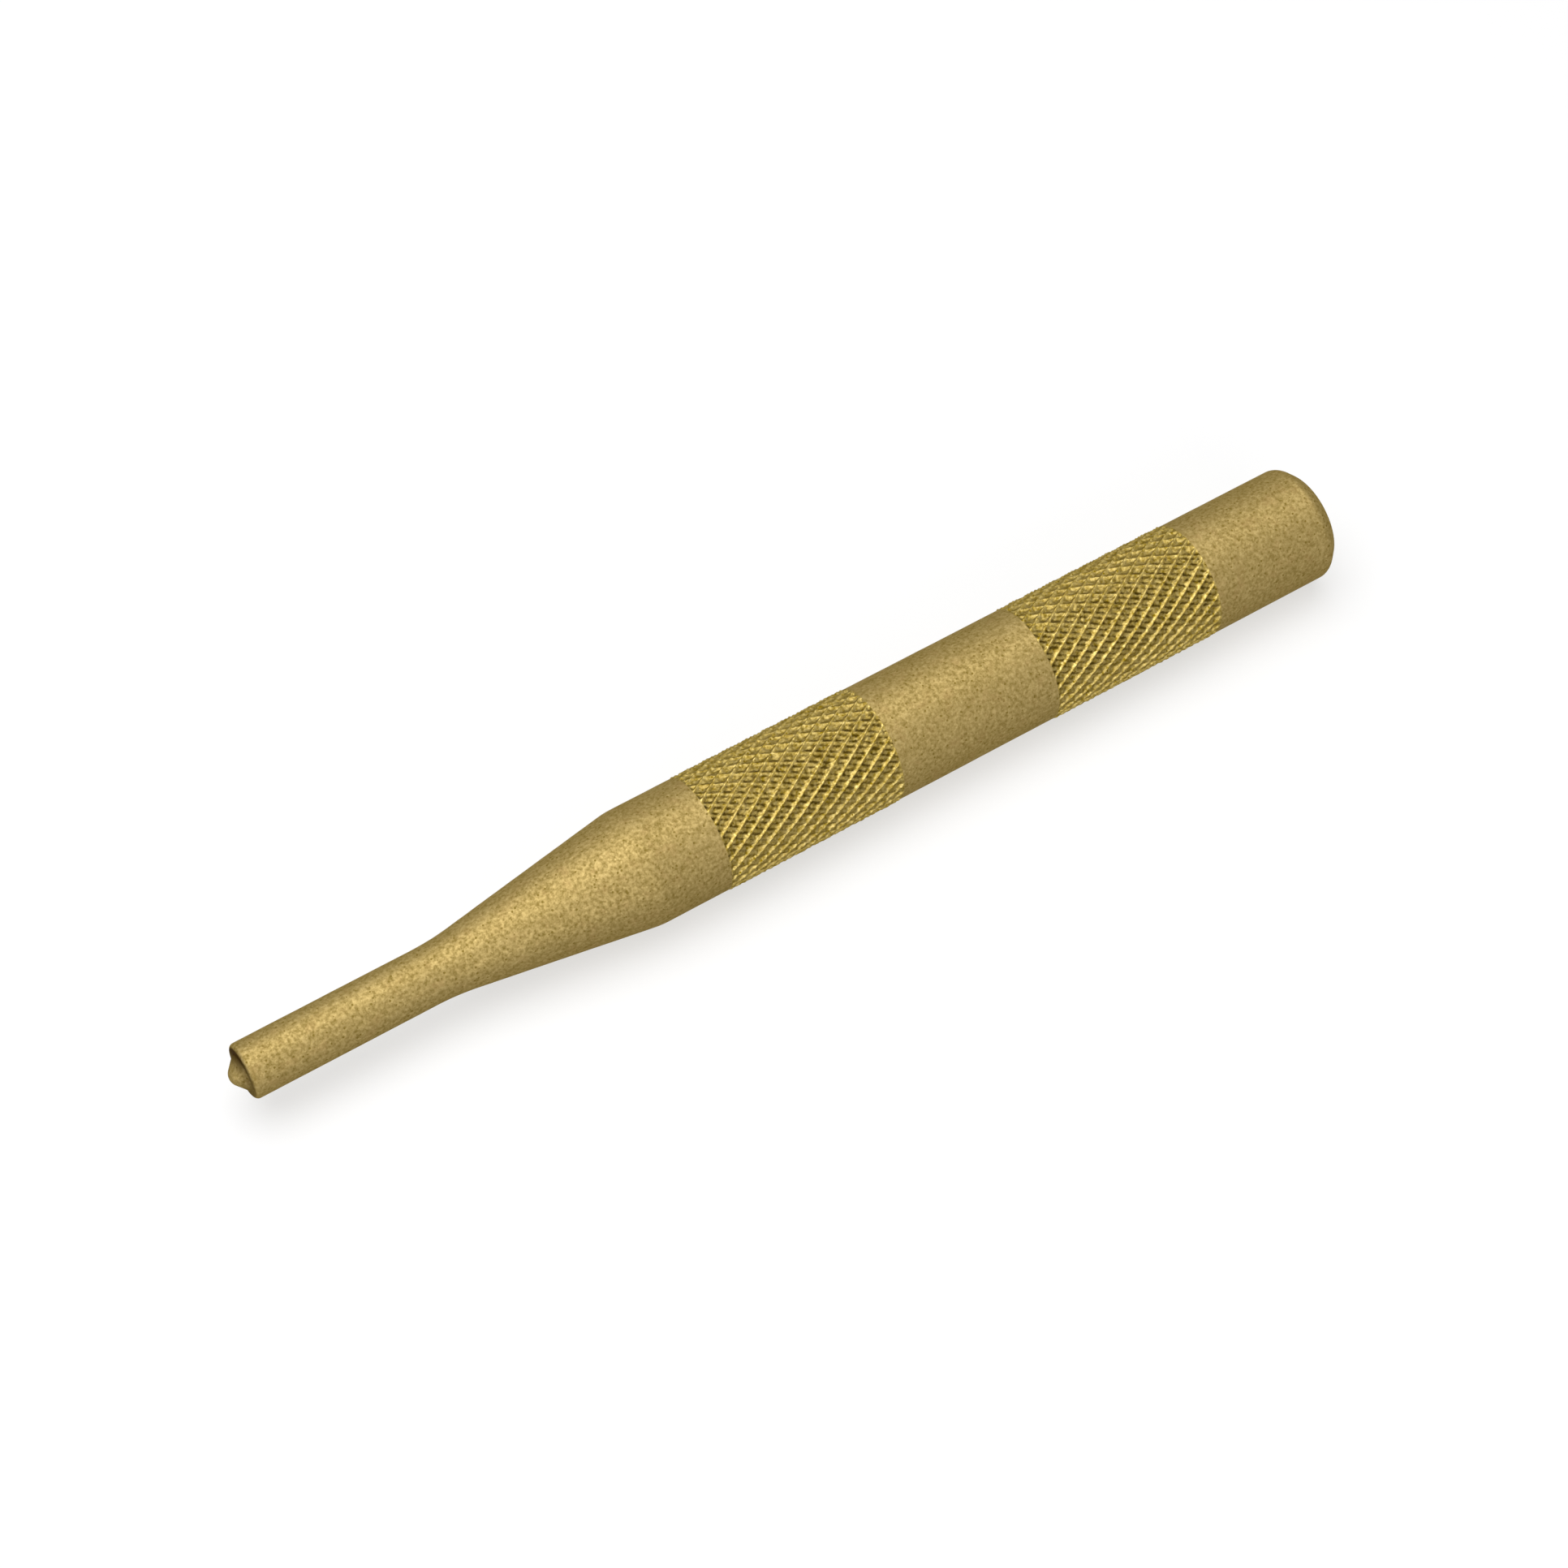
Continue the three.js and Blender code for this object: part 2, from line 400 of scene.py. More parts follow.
def brass_finish(name, grain_sizes, patch_size, bump_height, roughness, edge, colours):
    """A brass material: grain, tone and painted shade over one metal shader."""
    metal = bpy.data.materials.new(name)
    metal.use_nodes = True
    tree = metal.node_tree
    tree.nodes.clear()
    steady = {"Metallic": 1.0, "Specular Tint": edge}
    shader = place(tree, "ShaderNodeBsdfPrincipled", steady, distribution="GGX")
    place(tree, "ShaderNodeOutputMaterial", [shader.outputs[0]])
    position = place(tree, "ShaderNodeTexCoord").outputs["Object"]
    # This attribute holds painted shade, laid by the geometry trees.
    painted_shade = place(tree, "ShaderNodeAttribute", attribute_name=PAINTED_SHADE).outputs["Fac"]
    grain_feeds = {"Position": position, **grain_sizes}
    grains = place(tree, "ShaderNodeGroup", grain_feeds, node_tree=grain).outputs
    tone_feeds = {"Position": position, "Patch Size": patch_size, "Brightness": grains["Brightness"],
                  "Painted Shade": painted_shade, **colours}
    colour = value_of(tree, "ShaderNodeGroup", tone_feeds, node_tree=tone)
    feed(tree, shader.inputs["Base Color"], colour)
    gloss = ramp(tree, grains["Brightness"], *GLOSS_SHARE, *roughness)
    feed(tree, shader.inputs["Roughness"], gloss)
    bump_feeds = {"Strength": 1.0, "Distance": bump_height, "Height": grains["Height"]}
    feed(tree, shader.inputs["Normal"], value_of(tree, "ShaderNodeBump", bump_feeds))
    print(name, "nodes:", len(tree.nodes))
    return metal


print("tarnish is read from the attribute:", PAINTED_SHADE)

# %% [markdown]
# ## Blasted brass
# The plain lengths are matt, olive gold and grainy, and they stay rather dark towards the outline,
# where a smooth bar would mirror the white room. So the roughness is high, and a grey edge tint
# holds back the shine at grazing angles.

# %% Blasted brass
BLASTED_GRAIN = {"Grain Size": 0.37 * MM, "Contrast": 2.2}
BLASTED_PATCH = 3.0 * MM
BLASTED_BUMP = 0.03 * MM
BLASTED_ROUGHNESS = (0.66, 0.56)
BLASTED_EDGE = (0.36, 0.35, 0.33, 1.0)
BLASTED_COLOURS = {
    "Dark": (0.20, 0.138, 0.03, 1.0),
    "Light": (0.42, 0.312, 0.125, 1.0),
    "Warm": (0.33, 0.215, 0.08, 1.0),
    # The darkest colour here is painted shade, laid on the ring round the nub.
    "Painted Shade Colour": (0.06, 0.036, 0.011, 1.0),
}

blasted_brass = brass_finish("blasted_brass", BLASTED_GRAIN, BLASTED_PATCH, BLASTED_BUMP,
                             BLASTED_ROUGHNESS, BLASTED_EDGE, BLASTED_COLOURS)

# %% [markdown]
# ## Knurled brass
# Under the wheels the metal was squeezed and pressed smooth, and hands have polished it since. It
# is more golden than the blasted lengths, so its two brass colours lie further apart and it shines
# more. Its darkest colour is painted shade, which the knurl's tree lays in the pits.

# %% Knurled brass
KNURLED_GRAIN = {"Grain Size": 0.36 * MM, "Contrast": 2.6}
KNURLED_PATCH = 2.5 * MM
KNURLED_BUMP = 0.03 * MM
KNURLED_ROUGHNESS = (0.55, 0.42)
KNURLED_EDGE = (0.7, 0.63, 0.46, 1.0)
KNURLED_COLOURS = {
    "Dark": (0.228, 0.15, 0.006, 1.0),
    "Light": (0.54, 0.418, 0.15, 1.0),
    "Warm": (0.40, 0.27, 0.065, 1.0),
    # The darkest colour is painted shade for the pits and dashes between the ridges.
    "Painted Shade Colour": (0.041, 0.0235, 0.0, 1.0),
}

knurled_brass = brass_finish("knurled_brass", KNURLED_GRAIN, KNURLED_PATCH, KNURLED_BUMP,
                             KNURLED_ROUGHNESS, KNURLED_EDGE, KNURLED_COLOURS)

# %% [markdown]
# ## Turning a section
# A lathe makes every section the same way: a profile is spun round the axis. Here the profile is
# a row of points, and a Geometry Nodes tree lays a grid with one row for each point and one column
# for each step round the bar, then moves each grid point to its place. The two long edges meet
# and are merged, and so are the points on the axis, which closes the solid.

# %% Spin a profile
MERGE_DISTANCE = 0.0005 * MM

spin, spin_in, spin_out = new_tree(
    "turned_section", "GeometryNodeTree",
    [("Geometry", "Geometry"), ("Sides", "Int"), ("Axis Height", "Float"), ("Dent Depth", "Float"),
     ("Dent Size", "Float"), ("Finish", "Material")],
    [("Geometry", "Geometry")])
profile = spin_in["Geometry"]
rows = place(spin, "GeometryNodeAttributeDomainSize", {"Geometry": profile}).outputs["Point Count"]
columns = sums(spin, "ADD", spin_in["Sides"], 1.0)
grid = value_of(spin, "GeometryNodeMeshGrid", {"Vertices X": rows, "Vertices Y": columns})
index = value_of(spin, "GeometryNodeInputIndex")
row = sums(spin, "FLOOR", sums(spin, "DIVIDE", index, columns))
column = sums(spin, "SUBTRACT", index, sums(spin, "MULTIPLY", row, columns))


def from_profile(value, kind):
    """What the profile point of this grid row holds."""
    feeds = {"Geometry": profile, "Value": value, "Index": row}
    return value_of(spin, "GeometryNodeSampleIndex", feeds, data_type=kind, domain="POINT")


profile_place = from_profile(value_of(spin, "GeometryNodeInputPosition"), "FLOAT_VECTOR")
along, radius, _ = place(spin, "ShaderNodeSeparateXYZ", [profile_place]).outputs
angle = sums(spin, "MULTIPLY", sums(spin, "DIVIDE", column, spin_in["Sides"]), math.tau)
across = sums(spin, "MULTIPLY", radius, sums(spin, "SINE", angle))
up = sums(spin, "MULTIPLY", radius, sums(spin, "COSINE", angle))
height = sums(spin, "ADD", up, spin_in["Axis Height"])
spun_place = value_of(spin, "ShaderNodeCombineXYZ", [along, across, height])
spun = value_of(spin, "GeometryNodeSetPosition", {"Geometry": grid, "Position": spun_place})
print("nodes so far:", len(spin.nodes))

# %% [markdown]
# ## Carrying the painted shade
# A profile point may hold an amount of painted shade, as in the corner round the nub, and each point
# of the grid takes it over from its row. A material could paint it from the radius alone, but here
# the amount also falls off round the bar, so the painted shade is strongest near the top.

# %% Carry the painted shade and close the skin
SHADE_ROUND_ANGLE = math.radians(25)
SHADE_ROUND_RANGE = (0.3, 0.95)
SHADE_ROUND_SHARE = (0.62, 1.0)


def with_painted_shade(tree, geometry, amount):
    """Stores an amount of painted shade on every point."""
    feeds = {"Geometry": geometry, "Name": PAINTED_SHADE, "Value": amount}
    return value_of(tree, "GeometryNodeStoreNamedAttribute", feeds, data_type="FLOAT", domain="POINT")


own_painted_shade = value_of(spin, "GeometryNodeInputNamedAttribute", {"Name": PAINTED_SHADE}, data_type="FLOAT")
# Painted shade round the bar: strongest 25 degrees from the top, weaker further round.
facing_up = sums(spin, "COSINE", sums(spin, "SUBTRACT", angle, SHADE_ROUND_ANGLE))
shade_round_bar = ramp(spin, facing_up, *SHADE_ROUND_RANGE, *SHADE_ROUND_SHARE)
row_painted_shade = from_profile(own_painted_shade, "FLOAT")
spun = with_painted_shade(spin, spun, sums(spin, "MULTIPLY", row_painted_shade, shade_round_bar))
spun = value_of(spin, "GeometryNodeMergeByDistance", {"Geometry": spun, "Distance": MERGE_DISTANCE})
print("nodes so far:", len(spin.nodes))

# %% [markdown]
# ## Dents from tumbling
# Parts that tumble in a barrel knock against each other, and soft brass keeps the marks. A slow
# noise moves the skin a few hundredths of a millimetre in or out, square to the axis. The noise
# reads the place in space, so two sections that meet move together.

# %% Dent the skin
SQUARE_TO_AXIS = (0.0, 1.0, 1.0)


def finished(tree, geometry, finish):
    """The last two steps of every shape: plain geometry, and its material."""
    plain_geometry = value_of(tree, "GeometryNodeRealizeInstances", {"Geometry": geometry})
    feeds = {"Geometry": plain_geometry, "Material": finish}
    return value_of(tree, "GeometryNodeSetMaterial", feeds)


here = value_of(spin, "GeometryNodeInputPosition")
axis_point = value_of(spin, "ShaderNodeCombineXYZ", [0.0, 0.0, spin_in["Axis Height"]])
outward = vectors(spin, "SUBTRACT", here, axis_point)
outward = vectors(spin, "NORMALIZE", vectors(spin, "MULTIPLY", outward, SQUARE_TO_AXIS))
dent = noise(spin, here, sums(spin, "DIVIDE", 1.0, spin_in["Dent Size"]))
dent = vectors(spin, "SCALE", outward, swing(spin, dent, spin_in["Dent Depth"]))
spun = value_of(spin, "GeometryNodeSetPosition", {"Geometry": spun, "Offset": dent})
spun = value_of(spin, "GeometryNodeSetShadeSmooth", {"Geometry": spun})
feed(spin, spin_out["Geometry"], finished(spin, spun, spin_in["Finish"]))
print("turned section nodes:", len(spin.nodes))

# %% [markdown]
# ## Rolling the knurl
# A knurling tool presses two hardened wheels into the turning bar, one with left-handed teeth and
# one with right-handed teeth. The metal flows up into two sets of ridges that cross, with a
# diamond pit in each mesh of the net. The tree counts ridges along each helix: a whole number is
# a crest and a half is the bottom of a groove. It starts from a plain turned length.

# %% Count the ridges
NO_DENTS = {"Dent Depth": 0.0, "Dent Size": 1.0}

knurl, knurl_in, knurl_out = new_tree(
    "rolled_knurl", "GeometryNodeTree",
    [("Geometry", "Geometry"), ("Sides", "Int"), ("Axis Height", "Float"), ("Start", "Float"),
     ("End", "Float"), ("Ridges", "Int"), ("Axial Pitch", "Float"), ("Crest Radius", "Float"),
     ("Pit Radius", "Float"), ("Sharpness", "Float"), ("Crest Softness", "Float"), ("Notch", "Float"),
     ("Cross Height", "Float"), ("Rough Size", "Float"), ("Rough Height", "Float"),
     ("Run Out", "Float"), ("Painted Shade Side", "Float"), ("Finish", "Material")],
    [("Geometry", "Geometry")])


def roll(operation, *values):
    """One sum in the knurl's tree."""
    return sums(knurl, operation, *values)


plain_feeds = {name: knurl_in[name] for name in ("Geometry", "Sides", "Axis Height", "Finish")}
plain_feeds.update(NO_DENTS)
plain = value_of(knurl, "GeometryNodeGroup", plain_feeds, node_tree=spin)

here = value_of(knurl, "GeometryNodeInputPosition")
along, across, up = place(knurl, "ShaderNodeSeparateXYZ", [here]).outputs
up = roll("SUBTRACT", up, knurl_in["Axis Height"])
turn = roll("DIVIDE", roll("ARCTAN2", across, up), math.tau)
middle = roll("MULTIPLY", roll("ADD", knurl_in["Start"], knurl_in["End"]), 0.5)
count_round = roll("MULTIPLY", turn, knurl_in["Ridges"])
count_along = roll("DIVIDE", roll("SUBTRACT", along, middle), knurl_in["Axial Pitch"])
main_count = roll("SUBTRACT", count_round, count_along)
cross_count = roll("ADD", count_round, count_along)
print("nodes so far:", len(knurl.nodes))

# %% [markdown]
# ## Ridges that differ
# On this punch one wheel bit deeper than the other. Its ridges run on as sharp lines, while the
# ridges of the other hand are lower and double-struck, which nicks the first set twice in each
# pitch. A noise then roughens all of it, because brass tears a little under the wheels.

# %% Raise the ridges
RIDGE_BLEND = 0.08
CROSS_SHARPNESS = 2.0
STRIKES_PER_PITCH = 2.0


def away_from_crest(count):
    """0 on the crest of a ridge and 1 halfway to the next one."""
    return roll("MULTIPLY", roll("PINGPONG", count, 0.5), 2.0)


def squared(value):
    """A value times itself."""
    return roll("MULTIPLY", value, value)


away = away_from_crest(main_count)
soft = knurl_in["Crest Softness"]
away = roll("SUBTRACT", roll("SQRT", roll("ADD", squared(away), squared(soft))), soft)
main_ridge = roll("MAXIMUM", roll("SUBTRACT", 1.0, away), 0.0)
main_ridge = roll("POWER", main_ridge, knurl_in["Sharpness"])
away_from_strike = away_from_crest(roll("MULTIPLY", cross_count, STRIKES_PER_PITCH))
nicked = roll("SUBTRACT", 1.0, roll("MULTIPLY", away_from_strike, knurl_in["Notch"]))
main_ridge = roll("MULTIPLY", main_ridge, nicked)
cross_ridge = roll("SUBTRACT", 1.0, away_from_crest(cross_count))
cross_ridge = roll("POWER", cross_ridge, CROSS_SHARPNESS)
cross_ridge = roll("MULTIPLY", cross_ridge, knurl_in["Cross Height"])

rough = noise(knurl, here, roll("DIVIDE", 1.0, knurl_in["Rough Size"]))
rough = swing(knurl, rough, knurl_in["Rough Height"])
net = roll("ADD", roll("SMOOTH_MAX", main_ridge, cross_ridge, RIDGE_BLEND), rough)
net = roll("MINIMUM", roll("MAXIMUM", net, 0.0), 1.0)
print("nodes so far:", len(knurl.nodes))

# %% [markdown]
# ## From the net to the skin
# The net is a height, 0 in the pits and 1 on the crests. Every point of the plain length moves
# square to the axis, to the radius that its height asks for. The wheels ran out at both ends of
# the band, so the move fades there and the band meets its neighbours at the bar's own radius.

# %% Move the skin to the ridges
end_distance = roll("MINIMUM", roll("SUBTRACT", along, knurl_in["Start"]),
                    roll("SUBTRACT", knurl_in["End"], along))
rolled = ramp(knurl, end_distance, 0.0, knurl_in["Run Out"])
skin_radius = roll("SQRT", roll("ADD", squared(across), squared(up)))
depth = roll("SUBTRACT", knurl_in["Crest Radius"], knurl_in["Pit Radius"])
rolled_radius = roll("ADD", knurl_in["Pit Radius"], roll("MULTIPLY", net, depth))
move = roll("MULTIPLY", roll("SUBTRACT", rolled_radius, skin_radius), rolled)
square_out = value_of(knurl, "ShaderNodeCombineXYZ", [0.0, across, up])
offset = vectors(knurl, "SCALE", vectors(knurl, "NORMALIZE", square_out), move)
print("nodes so far:", len(knurl.nodes))

# %% [markdown]
# ## Painted shade between the ridges
# The ridges keep their own colour. The ground between the ridges gets a little painted shade
# all round. Between the strikes of the second wheel lie dark dashes of painted shade, most of all
# towards one side of the bar, and a noise lets them differ from pit to pit. Both are kept in the
# point attribute that the finish reads.

# %% Store the painted shade
GROUND_RANGE = (0.5, 0.1)
GROUND_SHADE = 0.4
DASH_SHARPNESS = 0.8
DASH_HEIGHT = 0.6
DASH_ROUGH = 1.0
DASH_RANGE = (0.42, 0.14)
DASH_DRIFT_SIZE = 0.7 * MM
DASH_DRIFT = 0.8
SIDE_RANGE = (0.68, 0.96)
SIDE_SHADE = (0.4, 0.95)

# Painted shade in the pits: the ground between the ridges darkens a little all round.
ground_shade = ramp(knurl, roll("ADD", main_ridge, rough), *GROUND_RANGE, 0.0, GROUND_SHADE)
# Painted shade dashes between the strikes of the second wheel.
strike = roll("POWER", roll("SUBTRACT", 1.0, away_from_strike), DASH_SHARPNESS)
dash = roll("SMOOTH_MAX", main_ridge, roll("MULTIPLY", strike, DASH_HEIGHT), RIDGE_BLEND)
dash = roll("ADD", dash, roll("MULTIPLY", rough, DASH_ROUGH))
dash_drift = noise(knurl, here, 1.0 / DASH_DRIFT_SIZE)
dash = roll("ADD", dash, swing(knurl, dash_drift, DASH_DRIFT))
# The painted shade side sets where round the bar the dashes are darkest.
from_painted_shade_side = roll("SUBTRACT", roll("MULTIPLY", turn, math.tau), knurl_in["Painted Shade Side"])
side_share = ramp(knurl, roll("COSINE", from_painted_shade_side), *SIDE_RANGE, *SIDE_SHADE)
shade_dashes = roll("MULTIPLY", ramp(knurl, dash, *DASH_RANGE), side_share)
band = with_painted_shade(knurl, plain, roll("MAXIMUM", ground_shade, shade_dashes))
band = value_of(knurl, "GeometryNodeSetPosition", {"Geometry": band, "Offset": offset})
feed(knurl, knurl_out["Geometry"], finished(knurl, band, knurl_in["Finish"]))
print("rolled knurl nodes:", len(knurl.nodes))

# %% [markdown]
# ## From corners to a profile
# A profile is written as corners, each with its place along the bar, its distance from the axis
# and the radius that rounds it. The rounds and the straight runs between them get enough points
# to look smooth from close by.

# %% Profile points
SMOOTH_TURN = math.radians(5)
TOUCHING = 1e-4
TEST_CORNERS = [(0, 0, 0), (0, 2, 0.5), (4, 2, 0)]
TEST_STEP = 0.25


def run_to(points, goal, step):
    """Goes on in a straight line to a point, at most one step at a time."""
    if not points:
        points.append(goal)
        return
    start = points[-1]
    distance = (goal - start).length
    if distance > TOUCHING:
        count = math.ceil(distance / step)
        points.extend(start.lerp(goal, share / count) for share in range(1, count + 1))


def rounded(corners, step):
    """Points along a profile whose corners are rounded. All in mm."""
    points = []
    for number, (along, radius, rounding) in enumerate(corners):
        corner = Vector((along, radius))
        if not rounding:
            run_to(points, corner, step)
            continue
        back = (Vector(corners[number - 1][:2]) - corner).normalized()
        ahead = (Vector(corners[number + 1][:2]) - corner).normalized()
        half_angle = back.angle(ahead) / 2
        centre = corner + (back + ahead).normalized() * (rounding / math.sin(half_angle))
        first = corner + back * (rounding / math.tan(half_angle)) - centre
        last = corner + ahead * (rounding / math.tan(half_angle)) - centre
        first_angle = math.atan2(first.y, first.x)
        turn = math.atan2(first.x * last.y - first.y * last.x, first.dot(last))
        steps_by_length = math.ceil(abs(turn) * rounding / step)
        steps_by_angle = math.ceil(abs(turn) / SMOOTH_TURN)
        count = max(steps_by_length, steps_by_angle)
        run_to(points, centre + first, step)
        for share in range(1, count + 1):
            angle = first_angle + turn * share / count
            points.append(centre + Vector((math.cos(angle), math.sin(angle))) * rounding)
    return points


print("points on a test corner:", len(rounded(TEST_CORNERS, TEST_STEP)))

# %% [markdown]
# ## Running a tree
# The tree runs as a modifier on the profile's points. Its result is kept as a plain mesh and the
# modifier goes. Then the faces are turned outward, and the piece reports that it is closed and
# how many cubic millimetres of metal it holds.

# %% From a tree to a plain mesh
def closed_outward(mesh):
    """Turns all faces outward and gives the open edges and the volume."""
    shell = bmesh.new()
    shell.from_mesh(mesh)
    bmesh.ops.recalc_face_normals(shell, faces=shell.faces)
    if shell.calc_volume(signed=True) < 0:
        bmesh.ops.reverse_faces(shell, faces=shell.faces)
    open_edges = sum(1 for edge in shell.edges if not edge.is_manifold)
    volume = shell.calc_volume(signed=True)
    shell.to_mesh(mesh)
    shell.free()
    return open_edges, volume


def made_by(tree, name, points, sizes, sharp_angle, painted_shade=None):
    """A piece whose plain mesh is what a tree makes from profile points in mm."""
    profile = bpy.data.meshes.new(name + "_profile")
    profile.from_pydata([(x * MM, r * MM, 0.0) for x, r in points], [], [])
    if painted_shade:
        amounts = profile.attributes.new(PAINTED_SHADE, "FLOAT", "POINT").data
        amounts.foreach_set("value", [painted_shade(point) for point in points])
    piece = bpy.data.objects.new(name, profile)
    bpy.context.scene.collection.objects.link(piece)
    modifier = piece.modifiers.new(name, "NODES")
    modifier.node_group = tree
    for socket in tree.interface.items_tree:
        if socket.in_out == "INPUT" and socket.name in sizes:
            modifier[socket.identifier] = sizes[socket.name]
    depsgraph = bpy.context.evaluated_depsgraph_get()
    evaluated = piece.evaluated_get(depsgraph)
    solid = bpy.data.meshes.new_from_object(
        evaluated, preserve_all_data_layers=True, depsgraph=depsgraph)
    piece.modifiers.clear()
    piece.data = solid
    solid.name = name
    bpy.data.meshes.remove(profile)
    open_edges, volume = closed_outward(solid)
    solid.set_sharp_from_angle(angle=sharp_angle)
    solid.calc_loop_triangles()
    print(name, "triangles:", len(solid.loop_triangles), "open edges:", open_edges,
          "volume in mm3:", round(volume / MM ** 3, 1))
    return piece


print("trees to run:", spin.name, "and", knurl.name)

# %% [markdown]
# ## The plain lengths
# Shank, collar and centre band are plain cylinders, left by one straight pass of the tool each.
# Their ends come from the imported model, so every section starts where its neighbour stops. The
# centre band stays bare between the two knurls, with the same blasted skin as the rest.

# %% Plain lengths
BAR_RADIUS = 6.35
SHANK_RADIUS = 3.0
SIDES = 224
STEP = 0.25
DENT_DEPTH = 0.03 * MM
DENT_SIZE = 2.2 * MM
TURNED_SHARP = math.radians(50)
AXIS_HEIGHT = (cad_low.z + cad_high.z) / 2


def ends(node):
    """Where a section starts and stops along the bar, in mm."""
    low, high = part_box(node)
    return max(low.x, cad_low.x) / MM, min(high.x, cad_high.x) / MM


def adopt(piece, node):
    """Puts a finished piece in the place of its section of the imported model."""
    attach(piece, "root")
    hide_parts(node)


def turned(node, corners, painted_shade=None):
    """A turned and blasted section."""
    sizes = {"Sides": SIDES, "Axis Height": AXIS_HEIGHT, "Dent Depth": DENT_DEPTH,
             "Dent Size": DENT_SIZE, "Finish": blasted_brass}
    start, end = ends(node)
    points = [Vector((min(max(x, start), end), r)) for x, r in rounded(corners, STEP)]
    piece = made_by(spin, node + "_turned", points, sizes, TURNED_SHARP, painted_shade)
    adopt(piece, node)


def plain_length(node, radius):
    """A plain cylinder between the ends of its section."""
    start, end = ends(node)
    turned(node, [(start, 0, 0), (start, radius, 0), (end, radius, 0), (end, 0, 0)])


plain_length("drive_shank", SHANK_RADIUS)
plain_length("front_collar", BAR_RADIUS)
plain_length("centre_band", BAR_RADIUS)

# %% [markdown]
# ## The taper
# The cone carries the blow from the thick bar into the slim shank. A sharp inside corner would
# crack there, so the cone leaves the shank in a long sweep. Where it meets the bar the edge is
# only softened. Both rounds are tangent to the lines beside them.

# %% Taper
TAPER_LENGTH = 22.0
SWEEP_RADIUS = 30.0
BREAK_RADIUS = 10.0

taper_start, taper_end = ends("taper")
taper_angle = math.atan2(BAR_RADIUS - SHANK_RADIUS, TAPER_LENGTH)
shank_corner = taper_start + SWEEP_RADIUS * math.tan(taper_angle / 2)
bar_corner = shank_corner + TAPER_LENGTH
turned("taper", [
    (taper_start, 0, 0),
    (taper_start, SHANK_RADIUS, 0),
    (shank_corner, SHANK_RADIUS, SWEEP_RADIUS),
    (bar_corner, BAR_RADIUS, BREAK_RADIUS),
    (taper_end, BAR_RADIUS, 0),
    (taper_end, 0, 0),
])

# %% [markdown]
# ## The striking head
# A hammer would split a sharp rim and throw chips, so the struck end is bevelled at 45 degrees and
# both edges of the bevel are rounded. The flat in the middle takes the blow.

# %% Striking head
HEAD_BEVEL = 1.4
HEAD_EDGE_RADIUS = 1.3

head_start, struck_face = ends("striking_head")
turned("striking_head", [
    (head_start, 0, 0),
    (head_start, BAR_RADIUS, 0),
    (struck_face - HEAD_BEVEL, BAR_RADIUS, HEAD_EDGE_RADIUS),
    (struck_face, BAR_RADIUS - HEAD_BEVEL, HEAD_EDGE_RADIUS),
    (struck_face, 0, 0),
])

# %% [markdown]
# ## The pilot tip
# The nub sits in the bore of the roll pin and keeps the punch centred, while the flat ring round
# it pushes on the pin's end. The flank of the nub leaves its round nose on a tangent and runs out
# on the ring. The corner at its foot and the ring are darkened with painted shade; the rim is not.

# %% Pilot tip
PILOT_FOOT_RADIUS = 2.05
PILOT_HEIGHT = 1.4
PILOT_NOSE_RADIUS = 1.3
PILOT_FOOT_FILLET = 0.1
RIM_RADIUS = 0.5
DARK_RADIUS = 2.62
RIM_FADE = 0.22
FLANK_FADE = 0.95

nose, tip_end = ends("pilot_tip")
shoulder = nose + PILOT_HEIGHT
foot_from_centre = shoulder - (nose + PILOT_NOSE_RADIUS)
foot_lean = math.atan2(foot_from_centre, PILOT_FOOT_RADIUS)
foot_distance = math.hypot(foot_from_centre, PILOT_FOOT_RADIUS)
flank_lean = foot_lean - math.acos(PILOT_NOSE_RADIUS / foot_distance)
nose_corner = PILOT_NOSE_RADIUS * math.tan((math.pi / 2 + flank_lean) / 2)


def ring_painted_shade(point):
    """Painted shade: most in the corner round the foot of the nub, less up its flank and over the
    rim.
    """
    over_rim = max(0.0, point.y - DARK_RADIUS) / RIM_FADE
    up_flank = max(0.0, PILOT_FOOT_RADIUS - point.y) / FLANK_FADE
    return max(0.0, 1.0 - max(over_rim, up_flank))


turned("pilot_tip", [
    (nose, 0, 0),
    (nose, nose_corner, PILOT_NOSE_RADIUS),
    (shoulder, PILOT_FOOT_RADIUS, PILOT_FOOT_FILLET),
    (shoulder, SHANK_RADIUS, RIM_RADIUS),
    (tip_end, SHANK_RADIUS, 0),
    (tip_end, 0, 0),
], ring_painted_shade)

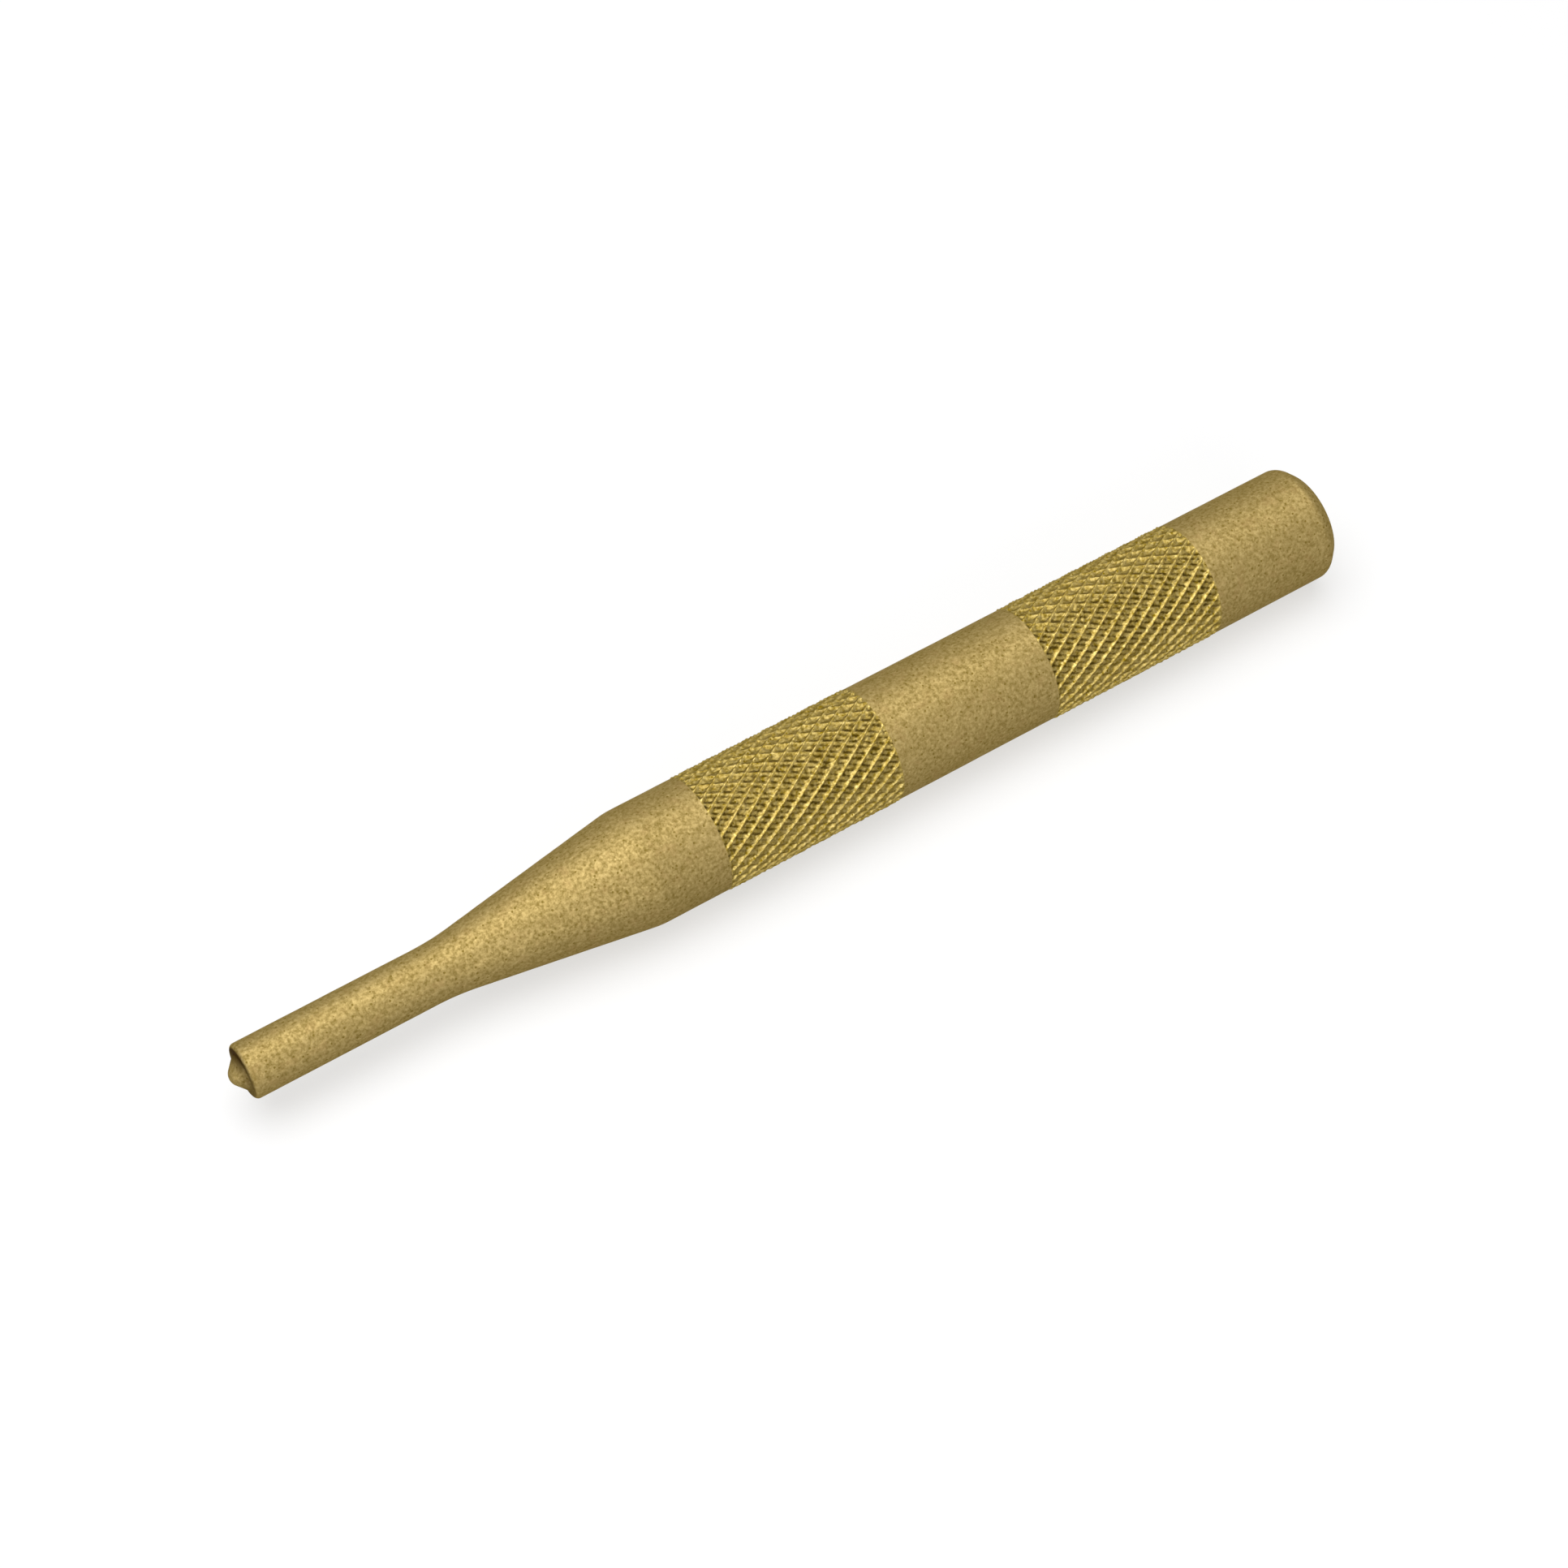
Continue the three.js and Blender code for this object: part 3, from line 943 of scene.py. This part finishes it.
# %% [markdown]
# ## The knurled bands
# Two bands give the hand its grip. Both were rolled with the same wheels: 28 ridges round the bar,
# leaning 31 degrees from its axis. The crests stand proud of the plain bar, because the metal that
# the wheels push out of the pits has to go somewhere. The painted shade in the pits is darkest on
# the upper front of the bar, a little lower on the rear band.

# %% Knurled bands
RIDGES = 28
HELIX = math.radians(31)
CREST_RADIUS = (cad_high.z - cad_low.z) / 2
PIT_DEPTH = 0.34 * MM
KNURL_SHARPNESS = 3.4
CREST_SOFTNESS = 0.08
NOTCH = 0.2
CROSS_HEIGHT = 0.68
ROUGH_SIZE = 0.45 * MM
ROUGH_HEIGHT = 0.7
RUN_OUT = 0.3 * MM
FRONT_PAINTED_SHADE_SIDE = math.radians(-33)
REAR_PAINTED_SHADE_SIDE = math.radians(-36)
STEPS_PER_RIDGE = 20
KNURLED_SHARP = math.radians(80)

axial_pitch = math.tau * BAR_RADIUS / RIDGES / math.tan(HELIX)
knurl_sizes = {
    "Sides": RIDGES * STEPS_PER_RIDGE, "Axis Height": AXIS_HEIGHT, "Ridges": RIDGES,
    "Axial Pitch": axial_pitch * MM, "Crest Radius": CREST_RADIUS,
    "Pit Radius": CREST_RADIUS - PIT_DEPTH, "Sharpness": KNURL_SHARPNESS,
    "Crest Softness": CREST_SOFTNESS, "Notch": NOTCH, "Cross Height": CROSS_HEIGHT,
    "Rough Size": ROUGH_SIZE, "Rough Height": ROUGH_HEIGHT, "Run Out": RUN_OUT,
    "Finish": knurled_brass,
}


def knurled(node, painted_shade_side):
    """A knurled band, with rows of points that fall on the crests and in the pits."""
    start, end = ends(node)
    row_step = axial_pitch / STEPS_PER_RIDGE
    half_rows = int((end - start) / 2 / row_step)
    middle = (start + end) / 2
    stations = [middle + number * row_step for number in range(-half_rows, half_rows + 1)]
    points = [Vector((start, 0))]
    points += [Vector((station, BAR_RADIUS)) for station in [start, *stations, end]]
    points += [Vector((end, 0))]
    sizes = {"Start": start * MM, "End": end * MM, "Painted Shade Side": painted_shade_side, **knurl_sizes}
    piece = made_by(knurl, node + "_rolled", points, sizes, KNURLED_SHARP)
    adopt(piece, node)


knurled("front_knurl", FRONT_PAINTED_SHADE_SIDE)
knurled("rear_knurl", REAR_PAINTED_SHADE_SIDE)
